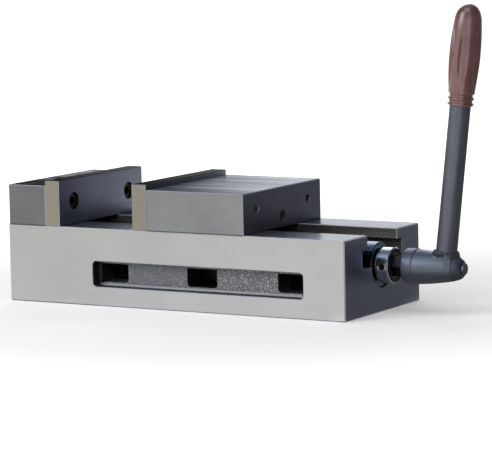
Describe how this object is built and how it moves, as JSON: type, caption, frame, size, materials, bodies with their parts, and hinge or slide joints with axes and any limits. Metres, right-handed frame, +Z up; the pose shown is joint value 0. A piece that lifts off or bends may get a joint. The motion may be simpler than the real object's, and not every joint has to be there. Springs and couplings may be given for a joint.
{
  "type": "milling vise",
  "caption": "Angle-lock milling vise with a slotted cast body, fixed and sliding jaws with bolted plates, a lead screw and a loose hand crank with a moulded grip.",
  "frame": {"origin": "middle of the body's base, on the face that stands on the machine table", "axes": "+X along the screw from the fixed jaw to the crank, +Y across the jaws, +Z up"},
  "size_m": [0.4762, 0.15, 0.288],
  "materials": {
    "body_iron": "ground and lightly polished grey iron",
    "jaw_iron": "ground grey iron",
    "plate_steel": "ground hardened steel",
    "black_steel": "black oxide",
    "key_steel": "ground",
    "nut_iron": "machined iron",
    "segment_steel": "ground",
    "screw_steel": "turned, oiled",
    "race_steel": "ground",
    "ball_steel": "polished",
    "cage_brass": "turned",
    "housing_steel": "turned and polished",
    "washer_steel": "hardened, oiled",
    "collar_steel": "bright, polished",
    "crank_iron": "forged, dark blue-grey",
    "rod_steel": "drawn, dark blue-grey",
    "grip_plastic": "moulded, glossy brown"
  },
  "bodies": {
    "base": {"vise_body": "body_iron", "fixed_jaw": "jaw_iron", "fixed_jaw_key": "key_steel", "fixed_jaw_bolts": "black_steel", "fixed_jaw_plate": "plate_steel", "fixed_plate_screws": "black_steel", "bearing_housing": "housing_steel", "housing_screws": "black_steel", "bearing_housing_washer": "race_steel", "thrust_washer": "washer_steel"},
    "screw": {"lead_screw": "screw_steel", "bearing_shaft_washer": "race_steel", "stop_collar": "collar_steel", "collar_set_screw": "black_steel"},
    "bearing": {"bearing_cage": "cage_brass", "bearing_balls": "ball_steel"},
    "jaw": {"movable_jaw": "jaw_iron", "movable_jaw_plate": "plate_steel", "movable_plate_screws": "black_steel", "clamp_nut": "nut_iron", "pull_down_segment": "segment_steel", "jaw_set_screw": "black_steel"},
    "crank": {"crank_hub": "crank_iron", "crank_rod": "rod_steel", "crank_grip": "grip_plastic"}
  },
  "joints": [
    {"name": "screw_turn", "type": "hinge", "parent": "base", "child": "screw", "pos_m": [0, 0, 0.044], "axis": [1, 0, 0], "range_deg": [-5960, 5180]},
    {"name": "jaw_travel", "type": "slide", "parent": "base", "child": "jaw", "axis": [1, 0, 0], "range_m": [-0.0828, 0.072]},
    {"name": "bearing_turn", "type": "hinge", "parent": "base", "child": "bearing", "pos_m": [0, 0, 0.044], "axis": [1, 0, 0], "range_deg": [-2981, 2591]},
    {"name": "crank_pull_off", "type": "slide", "parent": "screw", "child": "crank", "axis": [1, 0, 0], "range_m": [0, 0.025]}
  ],
  "couplings": [
    {"joint": "jaw_travel", "follows": "screw_turn", "m_per_rad": 0.00079577},
    {"joint": "bearing_turn", "follows": "screw_turn", "ratio": 0.5}
  ]
}
